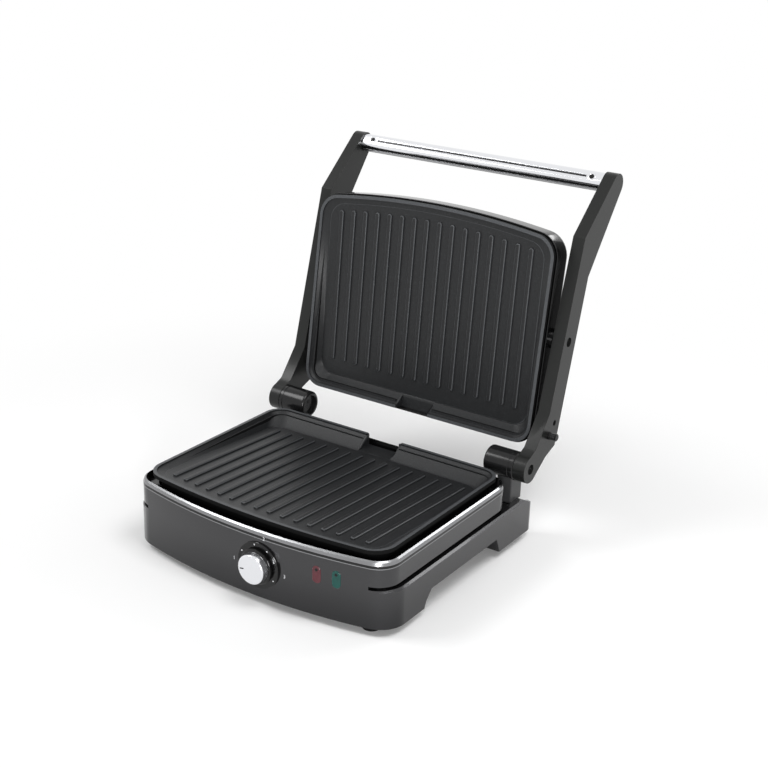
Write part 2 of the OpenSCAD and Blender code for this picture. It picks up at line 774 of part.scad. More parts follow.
module arm_outline() {
    polygon([
        on_bar(-eye_r * 0.72, eye_r * 0.68), on_bar(heel_low[0], heel_low[1]),
        on_bar(heel_high[0], heel_high[1]), on_bar(back_low[0], back_low[1]),
        on_bar(back_high[0], back_high[1]),
        [handle_y + tip_r * cos(tip_back_dir), handle_z + tip_r * sin(tip_back_dir)],
        [handle_y + tip_r * cos(tip_front_dir), handle_z + tip_r * sin(tip_front_dir)],
        on_bar(bar_high, bar_front), on_bar(bar_low, bar_front), on_bar(knee[0], knee[1]),
        on_bar(neck[0], neck[1]), on_bar(eye_r * 0.62, -eye_r * 0.77)
    ]);
}

module arm() {
    difference() {
        union() {
            translate([arm_in, 0, 0]) rotate([90, 0, 90]) linear_extrude(arm_t) arm_outline();
            rod_x(arm_in, arm_out, hinge_y, hinge_z, eye_r);
            rod_x(arm_in, arm_out, handle_y, handle_z, tip_r);
        }
        rod_x(arm_in - 1, arm_out + 1, hinge_y, hinge_z, pin_r + fit);
        rod_x(arm_out - pin_end_gap, arm_out + 1, hinge_y, hinge_z, pin_r + 0.5);
        rod_x(arm_in - 1, arm_out + 1, pivot_y, pivot_z, pivot_r + fit);
        rod_x(arm_out - pin_end_gap, arm_out + 1, pivot_y, pivot_z, pivot_r + 1);
        rod_x(arm_out - 4, arm_out + 1, arm_hole_at[0], arm_hole_at[1], 3);
    }
}

module arm_right() placed(GREY) difference() {
    arm();
    rod_x(button_in - button_travel - side_gap, arm_out + 1, button_at[0], button_at[1], button_r + fit);
}
module arm_left() placed(GREY) mirror([1, 0, 0]) arm();

module release_button() placed(BLACK)
    rod_x(button_in, arm_out + button_out, button_at[0], button_at[1], button_r);

// Places children at the handle: x along the handle, y out of its face
module at_handle() {
    translate([0, handle_y, handle_z]) rotate([90 + handle_tilt, 0, 0]) children();
}

module handle_bar() {
    rod_x(-arm_in, arm_in, 0, 0, handle_r);
}

module handle_core() placed(BLACK) at_handle() difference() {
    handle_bar();
    box(-arm_in - 1, arm_in + 1, handle_split, handle_r + 1, -handle_r - 1, handle_r + 1);
    for (x = [-handle_screw_x, handle_screw_x]) rod_y(handle_split - 5, handle_split + 1, x, 0, screw_r);
}

module handle_cover() placed(STEEL) at_handle() difference() {
    intersection() {
        handle_bar();
        box(-arm_in - 1, arm_in + 1, handle_split, handle_r - 1, -handle_r - 1, handle_r + 1);
    }
    box(-handle_screw_x, handle_screw_x, handle_r - 2.2, handle_r, -1.5, 1.5);
    for (x = [-handle_screw_x, handle_screw_x]) {
        rod_y(handle_split - 1, handle_r, x, 0, screw_r);
        rod_y(handle_r - 1 - head_t, handle_r, x, 0, head_r);
    }
}

module handle_screws() placed(STEEL) at_handle() for (x = [-handle_screw_x, handle_screw_x]) {
    rod_y(handle_split - 5, handle_r - 1 - head_t, x, 0, screw_r);
    rod_y(handle_r - 1 - head_t, handle_r - 1.4, x, 0, head_r);
}

// ---- Lid ----

// Turns what is drawn over the shut grill into the open lid
module on_lid() {
    translate([0, pivot_y, pivot_z]) rotate([-lid_open, 0, 0])
        translate([0, 0, -shut_pivot_z]) children();
}

// Turns the lower plate over, so that it faces down as the shut lid's plate
module over() {
    translate([0, 0, rim_z + shut_rim_z]) mirror([0, 0, 1]) children();
}

// A pivot pin with the flat lever inside the lid that stops the lid's tilt
module pivot_pin() {
    rod_x(lever_in, arm_out - pin_end_gap, pivot_y, pivot_z, pivot_r);
    on_lid() translate([0, 0, shut_pivot_z]) rotate([-lever_lift, 0, 0])
        box(lever_in, lever_in + lever_t, -lever_l, 0, -lever_w / 2, lever_w / 2);
}

module pivot_pin_right() placed(STEEL) pivot_pin();
module pivot_pin_left() placed(STEEL) mirror([1, 0, 0]) pivot_pin();

module lid_housing() placed(BLACK) on_lid() difference() {
    union() {
        hull() {
            slab(plate_line(-lid_edge), shut_rim_z + flange_t, shut_rim_z + lid_d - 9);
            slab(plate_line(2.5 - lid_edge), shut_rim_z + flange_t, shut_rim_z + lid_d - 3);
            slab(plate_line(9 - lid_edge), shut_rim_z + flange_t, shut_rim_z + lid_d);
        }
        both_sides() rod_x(plate_half - 2, boss_out, 0, shut_pivot_z, boss_r);
    }
    difference() {
        union() {
            slab(plate_line(5), shut_rim_z, shut_rim_z + flange_t + 4);
            slab(plate_line(lid_wall - lid_edge), shut_rim_z + flange_t + 3, shut_rim_z + lid_d - 10);
            slab(plate_line(lid_wall + 2.3), shut_rim_z + lid_d - 11, shut_rim_z + lid_inside);
            box(-spout_w / 2 - 3.3, spout_w / 2 + 3.3, cook_rear_y, plate_rear + 0.2,
                shut_rim_z, shut_rim_z + cook_rear_drop + 4);
        }
        both_sides() rod_x(boss_in, plate_half, 0, shut_pivot_z, pivot_r + 3);
    }
    both_sides() rod_x(lever_in, boss_out + 1, 0, shut_pivot_z, pivot_r + fit);
}

module upper_plate() placed(COAT) on_lid() over() plate(upper_depth);
module upper_heater() placed(STEEL) on_lid() over() heater_loop();
module upper_reflector() placed(STEEL) on_lid() over() difference() {
    slab(plate_line(body_inset + 14), rim_z - upper_depth - reflector_t, rim_z - upper_depth);
    screw_holes(upper_depth);
}
module upper_plate_screws() placed(STEEL) on_lid() over() reflector_screws(upper_depth);

base_housing();
bottom_cover();
cover_screws();
rubber_feet();
dial_plate();
hinge_bracket_left();
hinge_bracket_right();
hinge_pin_left();
hinge_pin_right();
lower_plate();
lower_heater();
lower_reflector();
lower_plate_screws();
lamp_red();
lamp_green();
lamp_holder();
thermostat();
thermostat_nut();
cord_gland();
knob_shaft();
knob_skirt();
knob_cap();
drip_tray();
arm_left();
arm_right();
handle_core();
handle_cover();
handle_screws();
release_button();
pivot_pin_left();
pivot_pin_right();
lid_housing();
upper_plate();
upper_heater();
upper_reflector();
upper_plate_screws();
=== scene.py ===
# %% [markdown]
# # An electric contact grill standing open
#
# The grill has a low base with a ribbed plate, a lid that hangs on two bent arms, and a bar handle.
# Its measured solids come from the imported model. We load them as a fixed frame.

# %% Load the frame
import json
import math
import bpy
import bmesh
from mathutils import Matrix, Vector


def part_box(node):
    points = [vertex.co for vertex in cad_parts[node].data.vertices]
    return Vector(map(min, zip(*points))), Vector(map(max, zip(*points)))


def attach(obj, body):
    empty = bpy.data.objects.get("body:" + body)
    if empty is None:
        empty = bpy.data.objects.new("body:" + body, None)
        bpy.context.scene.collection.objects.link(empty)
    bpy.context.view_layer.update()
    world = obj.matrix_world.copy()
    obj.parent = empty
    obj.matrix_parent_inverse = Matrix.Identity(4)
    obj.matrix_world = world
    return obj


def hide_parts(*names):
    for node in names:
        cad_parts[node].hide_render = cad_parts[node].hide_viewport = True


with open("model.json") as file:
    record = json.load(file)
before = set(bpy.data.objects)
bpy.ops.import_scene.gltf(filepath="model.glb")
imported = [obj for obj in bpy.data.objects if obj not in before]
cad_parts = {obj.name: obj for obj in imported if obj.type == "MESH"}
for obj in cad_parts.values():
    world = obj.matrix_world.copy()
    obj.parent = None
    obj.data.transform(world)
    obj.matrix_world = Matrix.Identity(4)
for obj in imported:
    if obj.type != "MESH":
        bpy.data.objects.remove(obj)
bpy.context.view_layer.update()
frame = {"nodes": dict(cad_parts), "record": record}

nodes = frame["nodes"]

# %% [markdown]
# The grill was measured in millimetres from the middle of its lower plate: X to the right, Y towards
# the hinges, Z up from the table. The middle's place in the frame comes from the plate's own solid, so
# that every later size can be read like a dimension on a drawing.

# %% Millimetres from the plate's middle
MM = 0.001
PLATE_HALF, PLATE_FRONT, PLATE_REAR = 144, 114, 111
plate_low, plate_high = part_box("lower_plate")
MIDDLE = Vector(((plate_low.x + plate_high.x) / 2, plate_low.y + PLATE_FRONT * MM, 0))
print("Plate middle:", [round(v, 5) for v in MIDDLE])

# %% [markdown]
# ## Finishes
#
# A finish is a small network of shader nodes. Written out by hand, each sum in it takes several lines,
# so a tiny class wraps a node's output and lets Python's own plus and times add the Math nodes. A
# second class holds one material and adds any other node in a single call.

# %% Sums on shader values
class Value:
    """An output of a shader node that can be added and multiplied in Python."""

    def __init__(self, finish, socket):
        self.finish = finish
        self.socket = socket

    def combine(self, operation, other):
        return self.finish.add("ShaderNodeMath", {"operation": operation}, {0: self, 1: other})

    def __add__(self, other):
        return self.combine("ADD", other)

    def __mul__(self, other):
        return self.combine("MULTIPLY", other)

    __radd__ = __add__
    __rmul__ = __mul__


# %% One finish is one material
class Finish:
    """A material whose nodes are added one call at a time."""

    def __init__(self, name):
        self.material = bpy.data.materials.new(name)
        self.material.use_nodes = True
        self.tree = self.material.node_tree
        self.shader = self.tree.nodes["Principled BSDF"]

    def add(self, kind, settings, inputs, output=0):
        """Adds a node with its settings and inputs, and returns one of its outputs."""
        node = self.tree.nodes.new(kind)
        for name, value in settings.items():
            if name == "stops":
                for element, (position, colour) in zip(node.color_ramp.elements, value):
                    element.position = position
                    element.color = colour
            else:
                setattr(node, name, value)
        for name, value in inputs.items():
            self.join(node.inputs[name], value)
        return Value(self, node.outputs[output])

    def join(self, socket, value):
        if isinstance(value, Value):
            self.tree.links.new(value.socket, socket)
        else:
            socket.default_value = value

    def surface(self, **values):
        """Sets or links the shader's own sockets and returns the material."""
        for name, value in values.items():
            self.join(self.shader.inputs[name.replace("_", " ")], value)
        return self.material

    def place(self):
        return self.add("ShaderNodeTexCoord", {}, {}, "Object")

    def noise(self, scale, detail=2.0, roughness=0.5):
        inputs = {"Vector": self.place(), "Scale": scale, "Detail": detail, "Roughness": roughness}
        return self.add("ShaderNodeTexNoise", {}, inputs)

    def blend(self, share, first, second):
        """Mixes two colours. The Mix node's colour sockets are its seventh, eighth and third output."""
        return self.add("ShaderNodeMix", {"data_type": "RGBA"}, {0: share, 6: first, 7: second}, 2)

    def ease(self, value, start, stop, lowest=0.0):
        """Rises softly from the lowest share to 1 between two values."""
        inputs = {"Value": value, "From Min": start, "From Max": stop, "To Min": lowest}
        return self.add("ShaderNodeMapRange", {"interpolation_type": "SMOOTHSTEP"}, inputs)

    def bump(self, height, distance):
        return self.add("ShaderNodeBump", {}, {"Height": height, "Distance": distance})


print("Shader helpers ready")

# %% [markdown]
# Most surfaces here are one even colour that is broken only a little: paint has a faint orange peel
# and slight changes of gloss, moulded plastic has a fine grain. So one function makes them all from a
# colour, a gloss and the size of their unevenness, and the finishes differ in those numbers.

# %% One function for the even finishes
def grey(level):
    return (level, level * 1.01, level * 1.04)


def opaque(colour, factor=1.0):
    return tuple(channel * factor for channel in colour) + (1,)


def plain(name, colour, rough, metal=0.0, coat=0.0, shine=0.5, spread=0.06,
          blotch=40.0, grain=0.0, grain_scale=900.0, wear=0.12):
    """A finish of one colour: blotches of wear, a spread of gloss and a fine grain."""
    finish = Finish(name)
    cloud = finish.noise(blotch, 3.0)
    values = dict(
        Base_Color=finish.blend(cloud, opaque(colour, 1 - wear), opaque(colour, 1 + wear)),
        Roughness=cloud * spread + (rough - spread / 2),
        Metallic=metal,
        Coat_Weight=coat,
        Specular_IOR_Level=shine,
    )
    if grain:
        values["Normal"] = finish.bump(finish.noise(grain_scale), grain)
    return finish.surface(**values)


print("A plain finish is ready to use")

# %% Paints, plastics and metals
METAL = 1.0
LOOKS = {
    "black_plastic": dict(colour=grey(0.006), rough=0.3, shine=0.2, grain=0.00003),
    "gloss_black": dict(colour=grey(0.004), rough=0.12, shine=0.25, coat=0.15, spread=0.03),
    "steel": dict(colour=grey(0.05), rough=0.3, metal=METAL),
    "rubber": dict(colour=grey(0.004), rough=0.75, shine=0.1, grain=0.00008),
    "bracket_grey": dict(colour=grey(0.007), rough=0.18, shine=0.3, grain=0.00002),
    "sheet": dict(colour=grey(0.6), rough=0.25, metal=METAL),
    "bright": dict(colour=grey(0.8), rough=0.1, metal=METAL, spread=0.03, wear=0.03),
    "arm_metal": dict(colour=(0.0105, 0.011, 0.0105), rough=0.3, shine=0.25, grain=0.00003),
    "lid_black": dict(colour=grey(0.004), rough=0.13, shine=0.25, coat=0.15, spread=0.03,
                      grain=0.00001, grain_scale=200.0),
    "red_lens": dict(colour=(0.082, 0.019, 0.025), rough=0.12, shine=0.3, coat=0.1, wear=0.3, blotch=160.0),
    "green_lens": dict(colour=(0.004, 0.055, 0.046), rough=0.12, shine=0.3, coat=0.1, wear=0.3, blotch=160.0),
    "lip_black": dict(colour=grey(0.003), rough=0.16, shine=0.35, coat=0.1, spread=0.03),
    # The lip's bright band and the thin line below it are painted highlights.
    "lip_shine": dict(colour=grey(0.26), rough=0.25, metal=METAL, spread=0.03),
    "edge_line": dict(colour=grey(0.3), rough=0.25, metal=METAL),
    "satin": dict(colour=grey(0.36), rough=0.3, metal=METAL),
    "post_grey": dict(colour=grey(0.035), rough=0.4, shine=0.3, grain=0.00003),
    "print": dict(colour=grey(0.6), rough=0.5, shine=0.3),
}
PAINTS = {name: plain(name, **look) for name, look in LOOKS.items()}
print("Plain finishes:", ", ".join(PAINTS))

# %% [markdown]
# The non-stick coating is sprayed on cast metal. Seen close, it is a dark grey full of tiny lighter
# specks, a little rough to the touch. Two noises do that: a very fine one for the specks and the
# bump, and a wide one for the faint patches of gloss. A paler copy of the same coating goes on the
# rim, the shoulders of the ribs and the foot of the wall: a painted highlight.

# %% Non-stick coating
def cool(level):
    return opaque((level * 0.96, level * 1.01, level * 1.08))


def coating(name, dark, light):
    finish = Finish(name)
    specks = finish.noise(1400.0, roughness=0.7)
    patches = finish.noise(25.0)
    ramp = {"stops": [(0.5, (0, 0, 0, 1)), (0.72, (1, 1, 1, 1))]}
    dots = finish.add("ShaderNodeValToRGB", ramp, {"Fac": specks})
    return finish.surface(
        Base_Color=finish.blend(dots, cool(dark), cool(light)),
        Roughness=patches * 0.08 + specks * 0.1 + 0.28,
        Specular_IOR_Level=0.3,
        Normal=finish.bump(specks, 0.00006),
    )


PAINTS["coating"] = coating("coating", 0.01, 0.032)
# The paler copy of the coating is a painted highlight.
PAINTS["rim"] = coating("rim", 0.055, 0.1)
print("Coating ready")

# %% [markdown]
# The base is sprayed with a glossy gunmetal lacquer over the moulding. Its colour grows darker low
# down on the wall and follows the height above the table: painted shade for the floor's shadow that
# the wall reflects near its foot.

# %% Gunmetal lacquer
def lacquer_with_painted_shade(painted_shade_colour, lightest, low, high):
    finish = Finish("gunmetal")
    # Darker towards the table: painted shade of the reflected floor shadow.
    height = finish.add("ShaderNodeSeparateXYZ", {}, {0: finish.place()}, "Z")
    return finish.surface(
        Base_Color=finish.blend(finish.ease(height, low, high), opaque(painted_shade_colour), opaque(lightest)),
        Roughness=finish.noise(40.0, 3.0) * 0.04 + 0.2,
        Metallic=0.9,
        Coat_Weight=0.3,
        Normal=finish.bump(finish.noise(300.0), 0.00002),
    )


PAINTS["gunmetal"] = lacquer_with_painted_shade((0.026, 0.026, 0.0275), (0.052, 0.052, 0.054), 6 * MM, 55 * MM)
print("Lacquer ready")

# %% [markdown]
# Every solid of the frame gets the finish that the record names for it. Those that show no more than
# a screw or a pan inside the grill keep their own mesh.

# %% Give each solid its finish
SLOT = {part["node"]: part["material_slot"] for part in frame["record"]["subparts"]}
for name, node in nodes.items():
    node.data.materials.clear()
    node.data.materials.append(PAINTS[SLOT[name]])
print("Solids with a finish:", len(nodes))

# %% [markdown]
# ## Floor, light and camera
#
# The photograph is a shop picture: a white background, large soft lights and a faint shadow. The
# world is white to the camera and to reflections and dimmer as a light, and the floor is white where
# the camera sees it, but still takes the grill's shadow.

# %% World
SEEN, LIGHTING = 1.0, 0.35
world = bpy.data.worlds.new("studio")
world.use_nodes = True
bpy.context.scene.world = world
bpy.context.scene.view_settings.view_transform = "Standard"
tree = world.node_tree
tree.nodes.clear()
path, strength, glow, end = (tree.nodes.new("ShaderNode" + kind)
                             for kind in ("LightPath", "Mix", "Background", "OutputWorld"))
strength.inputs[2].default_value = SEEN
strength.inputs[3].default_value = LIGHTING
glow.inputs["Color"].default_value = (1, 1, 1, 1)
tree.links.new(path.outputs["Is Diffuse Ray"], strength.inputs[0])
tree.links.new(strength.outputs[0], glow.inputs["Strength"])
tree.links.new(glow.outputs[0], end.inputs[0])
print("World ready")

# %% Floor
FLOOR_HALF = 4.0
WHITEN_FROM, WHITEN_TO, WHITEN_LEAST = 0.28, 0.75, 0.05
bm = bmesh.new()
bmesh.ops.create_grid(bm, x_segments=1, y_segments=1, size=FLOOR_HALF)
mesh = bpy.data.meshes.new("floor")
bm.to_mesh(mesh)
bm.free()
floor = bpy.data.objects.new("floor", mesh)
bpy.context.collection.objects.link(floor)
ground = Finish("ground")
ground.surface(Base_Color=opaque((0.95, 0.95, 0.95)), Roughness=0.7, Specular_IOR_Level=0.1)
away = ground.add("ShaderNodeVectorMath", {"operation": "LENGTH"}, {0: ground.place()}, "Value")
whiten = ground.ease(away, WHITEN_FROM, WHITEN_TO, WHITEN_LEAST)
camera_ray, glossy_ray, clear_ray = (ground.add("ShaderNodeLightPath", {}, {}, f"Is {kind} Ray")
                                     for kind in ("Camera", "Glossy", "Transmission"))
white = ground.add("ShaderNodeEmission", {}, {"Color": (1, 1, 1, 1), "Strength": 1.0})
lit = Value(ground, ground.shader.outputs[0])
direct = camera_ray + glossy_ray + clear_ray
shown = ground.add("ShaderNodeMixShader", {}, {0: whiten * direct, 1: lit, 2: white})
ground.tree.links.new(shown.socket, ground.tree.nodes["Material Output"].inputs[0])
mesh.materials.append(ground.material)
print("Floor ready")


# %% Lamps
def softbox(name, place, aim_height, size, power):
    data = bpy.data.lights.new(name, "AREA")
    data.shape = "RECTANGLE"
    data.size, data.size_y = size
    data.energy = power
    lamp = bpy.data.objects.new(name, data)
    lamp.location = place
    lamp.rotation_euler = (Vector((0, 0, aim_height)) - Vector(place)).to_track_quat("-Z", "Y").to_euler()
    bpy.context.collection.objects.link(lamp)


softbox("key_light", (-0.87, -0.62, 1.2), 0.15, (0.7, 0.55), 9)
softbox("top_light", (0.55, -0.2, 1.35), 0.15, (0.6, 0.6), 7)
softbox("front_light", (0.95, -1.35, 0.3), 0.2, (0.3, 0.7), 16)
softbox("rear_light", (0.45, 1.3, 0.95), 0.1, (1.2, 0.4), 9)

# %% [markdown]
# The camera stands where the photograph was taken from. It is given as a point that it looks at, a
# distance and three angles, and the small shift puts the grill where it is in the frame.

# %% Camera
AIM = Vector((35.68, -76.45, 168.18)) * MM
DISTANCE = 1353.9 * MM
TURN, RISE, ROLL = (math.radians(v) for v in (34.85, 22.56, 1.22))
back = Vector((math.sin(TURN) * math.cos(RISE), -math.cos(TURN) * math.cos(RISE), math.sin(RISE)))
right = Vector((math.cos(TURN), math.sin(TURN), 0))
up = back.cross(right)
across = right * math.cos(ROLL) + up * math.sin(ROLL)
upward = up * math.cos(ROLL) - right * math.sin(ROLL)
lens = bpy.data.cameras.new("camera")
lens.lens, lens.sensor_width = 66.04, 36
lens.shift_x, lens.shift_y = 0.035, 0.0273
lens.clip_start = 0.05
camera = bpy.data.objects.new("camera", lens)
stand = Matrix((across, upward, back)).transposed().to_4x4()
stand.translation = AIM + back * DISTANCE
camera.matrix_world = stand
bpy.context.collection.objects.link(camera)
bpy.context.scene.camera = camera
print("Camera at", [round(v, 3) for v in stand.translation])

# %% [markdown]
# ## From a drawing to a piece
#
# All pieces are drawn in the millimetres of the plate's frame. One function then mends the drawing,
# scales it to metres, moves it into place, shades it smooth between its sharp edges and hangs it on its
# body. A bevel that meets a thinner wall can leave faces without any area, and these are merged away.
# Normals weighted by face area keep big flat faces flat beside their small rounded edges.

# %% Make a piece of a drawing
SAME_PLACE = 0.00002


def mend(bm):
    """Merges points that share a place and turns all faces outwards."""
    bmesh.ops.remove_doubles(bm, verts=bm.verts, dist=SAME_PLACE)
    bmesh.ops.dissolve_degenerate(bm, dist=SAME_PLACE, edges=bm.edges)
    bmesh.ops.recalc_face_normals(bm, faces=bm.faces)


def finish_piece(bm, name, paints, body, *replaced, smooth=35):
    """Turns a drawing in millimetres into a piece that rides on a body."""
    mend(bm)
    bmesh.ops.scale(bm, verts=bm.verts, vec=(MM, MM, MM))
    bmesh.ops.translate(bm, verts=bm.verts, vec=MIDDLE)
    mesh = bpy.data.meshes.new(name)
    bm.to_mesh(mesh)
    bm.free()
    mesh.polygons.foreach_set("use_smooth", [True] * len(mesh.polygons))
    mesh.set_sharp_from_angle(angle=math.radians(smooth))
    for paint in paints.split():
        mesh.materials.append(PAINTS[paint])
    piece = bpy.data.objects.new(name, mesh)
    bpy.context.collection.objects.link(piece)
    even = piece.modifiers.new("even", "WEIGHTED_NORMAL")
    even.mode = "FACE_AREA"
    even.keep_sharp = True
    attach(piece, body)
    main = paints.split()[0]
    if replaced:
        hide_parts(*replaced)
        main = SLOT[replaced[0]]
    main if main in SLOT.values() else "black_plastic"
    print(name, len(mesh.polygons), "faces")


# %% [markdown]
# Most parts here are mouldings or castings: a flat outline that is pushed out, stepped in and rounded.
# That is what inset and extrude do. So a drawing starts as one flat face, and one call at a time
# draws the face in by a distance and pushes it along its own direction.

# %% Push, round and move
def parts_of(faces):
    """The faces with their edges and vertices, as the cutting operators want them."""
    edges = list({e for f in faces for e in f.edges})
    verts = list({v for f in faces for v in f.verts})
    return list(faces) + edges + verts


def new_verts(made):
    return [part for part in made["geom"] if isinstance(part, bmesh.types.BMVert)]


def solid(bm, face, height):
    """Gives a lone flat face a height and returns its far face."""
    made = bmesh.ops.extrude_face_region(bm, geom=[face])
    bmesh.ops.translate(bm, verts=new_verts(made), vec=(0, 0, height))
    bm.normal_update()
    bmesh.ops.recalc_face_normals(bm, faces=bm.faces)
    return next(part for part in made["geom"] if isinstance(part, bmesh.types.BMFace))


def pull(bm, face, *steps):
    """Draws a face in and pushes it out, once for each (in, out) step."""
    for inward, outward in steps:
        bmesh.ops.inset_region(bm, faces=[face], thickness=inward, depth=outward,
                               use_even_offset=True, use_boundary=True)


def soften(bm, width, segments=2, angle=30, within=lambda edge: True):
    """Bevels the edges that are sharper than the angle."""
    sharp = [e for e in bm.edges if len(e.link_faces) == 2
             and e.calc_face_angle() > math.radians(angle) and within(e)]
    bmesh.ops.bevel(bm, geom=sharp, offset=width, offset_type="OFFSET", segments=segments, profile=0.5,
                    affect="EDGES", material=-1, clamp_overlap=True)
    return bm


def disc(bm, radius, segments):
    """A flat round face that looks up, with its vertices."""
    verts = bmesh.ops.create_circle(bm, cap_ends=True, radius=radius, segments=segments)["verts"]
    face = verts[0].link_faces[0]
    if face.normal.z < 0:
        face.normal_flip()
    return face, verts


def stretch(bm, verts, length):
    """Makes a round face long by moving its rear half."""
    bmesh.ops.translate(bm, verts=[v for v in verts if v.co.y > 0.01], vec=(0, length, 0))


def move(bm, matrix, verts=None):
    bmesh.ops.transform(bm, matrix=matrix, verts=verts or bm.verts)
    return bm


def turned(angle, axis):
    return Matrix.Rotation(math.radians(angle), 4, axis)


print("Drawing helpers ready")

# %% [markdown]
# ## The plates
#
# Both plates come from one mould: a rounded rectangle whose front edge is bowed, with a flat rim,
# slanted walls and a cooking surface that falls towards the hinges. The outline is four points with
# their corners bevelled, and its front edge is subdivided and pushed onto the bow.

# %% Bowed outline
BOW, CORNER = 900, 20


def outline(margin, z):
    """A lone flat face: the plate's outline, a margin wider all round."""
    half, front, rear = PLATE_HALF + margin, PLATE_FRONT + margin, PLATE_REAR + margin
    bow, corner = BOW + margin, CORNER + margin
    bm = bmesh.new()
    places = ((-half, -front), (half, -front), (half, rear), (-half, rear))
    spots = [bm.verts.new((x, y, z)) for x, y in places]
    bm.faces.new(spots)
    for pair in (spots[:2], spots[2:]):
        bmesh.ops.bevel(bm, geom=pair, offset=corner, offset_type="OFFSET", affect="VERTICES",
                        segments=9, profile=0.5, material=-1)

    def straight(edge, along):
        first, second = edge.verts
        return edge.calc_length() > half and abs(first.co[1 - along] - second.co[1 - along]) < 0.01

    front_edge = [e for e in bm.edges if straight(e, 0) and e.verts[0].co.y < 0]
    bmesh.ops.subdivide_edges(bm, edges=front_edge, cuts=23)
    bmesh.ops.subdivide_edges(bm, edges=[e for e in bm.edges if straight(e, 1)], cuts=12)
    bmesh.ops.dissolve_faces(bm, faces=bm.faces, use_verts=False)
    for v in bm.verts:
        if v.co.y < corner - front + 0.01:
            v.co.y += bow - math.sqrt(bow ** 2 - v.co.x ** 2)
    bm.faces.ensure_lookup_table()
    return bm, bm.faces[0]


print("Outline: bow", BOW, "corner", CORNER)

# %% Heights of the plate
RIM = 84
FLANGE = 4
RIM_WIDTH, RIM_STEP = 3.5, 1.7
BODY_INSET, BODY_DEPTH = 8, 15
COOK_HALF, COOK_FRONT, COOK_REAR = 131.5, -104.5, 88.5
FRONT_DROP, REAR_DROP = 2.5, 13
FALL = (REAR_DROP - FRONT_DROP) / (COOK_REAR - COOK_FRONT)


def cook_z(y):
    return RIM - FRONT_DROP - FALL * (y - COOK_FRONT)


print("Cooking surface at the front and rear:", cook_z(COOK_FRONT), cook_z(COOK_REAR))

# %% [markdown]
# The wall between the rim and the cooking surface is drawn as rings. Each ring lies part of the way
# in, and a list says how deep it is there. The last rings dip a little below the surface, which leaves
# the shallow gutter that runs round it.

# %% Slanted wall
WALL = ((0.3, 0.37), (0.6, 0.72), (0.8, 0.94), (0.9, 1.04), (0.96, 1.04), (1, 1))
# The second finish is the paler coating, a painted highlight; the third is black, a painted shade.
MAIN_FINISH, PAINTED_HIGHLIGHT_FINISH, PAINTED_SHADE_FINISH = 0, 1, 2


def slant(bm, top, rear):
    """Rings from the rim down to a cooking surface that ends at the rear line."""
    ledge = RIM - RIM_STEP
    ledge_length = PLATE_FRONT + PLATE_REAR - 2 * RIM_WIDTH
    length = (rear - COOK_FRONT) / ledge_length
    narrow = COOK_HALF / (PLATE_HALF - RIM_WIDTH) - 1
    shift, short = COOK_FRONT + (PLATE_FRONT - RIM_WIDTH) * length, length - 1
    before = 0
    for share, depth in WALL:
        pull(bm, top, (0, -0.01))
        for v in top.verts:
            y = (v.co.y - before * shift) / (1 + before * short)
            v.co.x *= (1 + share * narrow) / (1 + before * narrow)
            v.co.y = share * shift + (1 + share * short) * y
            v.co.z = ledge + depth * (cook_z(shift + (1 + short) * y) - ledge)
        before = share
    # The ring at the foot of the wall gets the paler coating: a painted highlight along the crease.
    for face in {f for e in top.edges for f in e.link_faces} - {top}:
        face.material_index = PAINTED_HIGHLIGHT_FINISH


print("Rings in the wall:", len(WALL))

# %% [markdown]
# The grease runs out through a channel in the rear wall. Two pairs of cuts, a hair apart, mark its
# sides. The points between them drop to the channel's floor, and the hair's width becomes a wall.

# %% Channel through the rear wall
CHANNEL_HALF, TROUGH_HALF = 20, 23
CHANNEL_FLOOR, TROUGH_FLOOR = 71, 68
HAIR = 0.02
NEAR = 0.01


def cut_wall(bm, half):
    for x in (-half - HAIR, -half, half, half + HAIR):
        wall = [f for f in bm.faces if f.calc_center_median().y > COOK_REAR + 0.1
                and all(v.co.y > COOK_REAR - 0.5 for v in f.verts)]
        bmesh.ops.bisect_plane(bm, geom=parts_of(wall), plane_co=(x, 0, 0), plane_no=(1, 0, 0), dist=1e-5)


def sink_channel(bm):
    cut_wall(bm, CHANNEL_HALF)
    cut_wall(bm, TROUGH_HALF)
    for v in bm.verts:
        x, y, z = abs(v.co.x), v.co.y, v.co.z
        if x < TROUGH_HALF + NEAR and y > 100 and abs(z - RIM + FLANGE) < 0.1:
            v.co.z = TROUGH_FLOOR
        elif x < CHANNEL_HALF + NEAR and y > COOK_REAR + 0.1 and z > CHANNEL_FLOOR:
            v.co.z = CHANNEL_FLOOR
    bmesh.ops.remove_doubles(bm, verts=bm.verts, dist=1.5 * HAIR)


print("Channel:", 2 * CHANNEL_HALF, "mm wide")

# %% [markdown]
# The flat rim gets the paler coating, a painted highlight, and the outer side of the plate gets black,
# a painted shade. Faces are told apart by the way they look and by their height, before the bevels
# add their narrow faces, which inherit from them.

# %% One plate without ribs
def choose_finish(face):
    centre, normal = face.calc_center_median(), face.normal
    # Painted highlight on the flat rim, painted shade on the outer side.
    if normal.z > 0.9 and centre.z > RIM - 0.1:
        face.material_index = PAINTED_HIGHLIGHT_FINISH
    elif abs(normal.z) < 0.1 and centre.xy.dot(normal.xy) > 0 and centre.z > 70:
        face.material_index = PAINTED_SHADE_FINISH


def beside_channel(edge):
    return all(abs(abs(v.co.x) - CHANNEL_HALF) < 0.1 and v.co.y > 95 and v.co.z > CHANNEL_FLOOR + 0.5
               for v in edge.verts)


def plate(rear):
    bm, low = outline(0, RIM - FLANGE)
    top = solid(bm, low, FLANGE)
    pull(bm, low, (BODY_INSET, 0), (0, BODY_DEPTH))
    pull(bm, top, (RIM_WIDTH, 0), (0, -RIM_STEP))
    slant(bm, top, rear)
    sink_channel(bm)
    for face in bm.faces:
        choose_finish(face)
    soften(bm, 2.4, 3, 40, within=beside_channel)
    soften(bm, 0.6, 2, 25)
    return bm


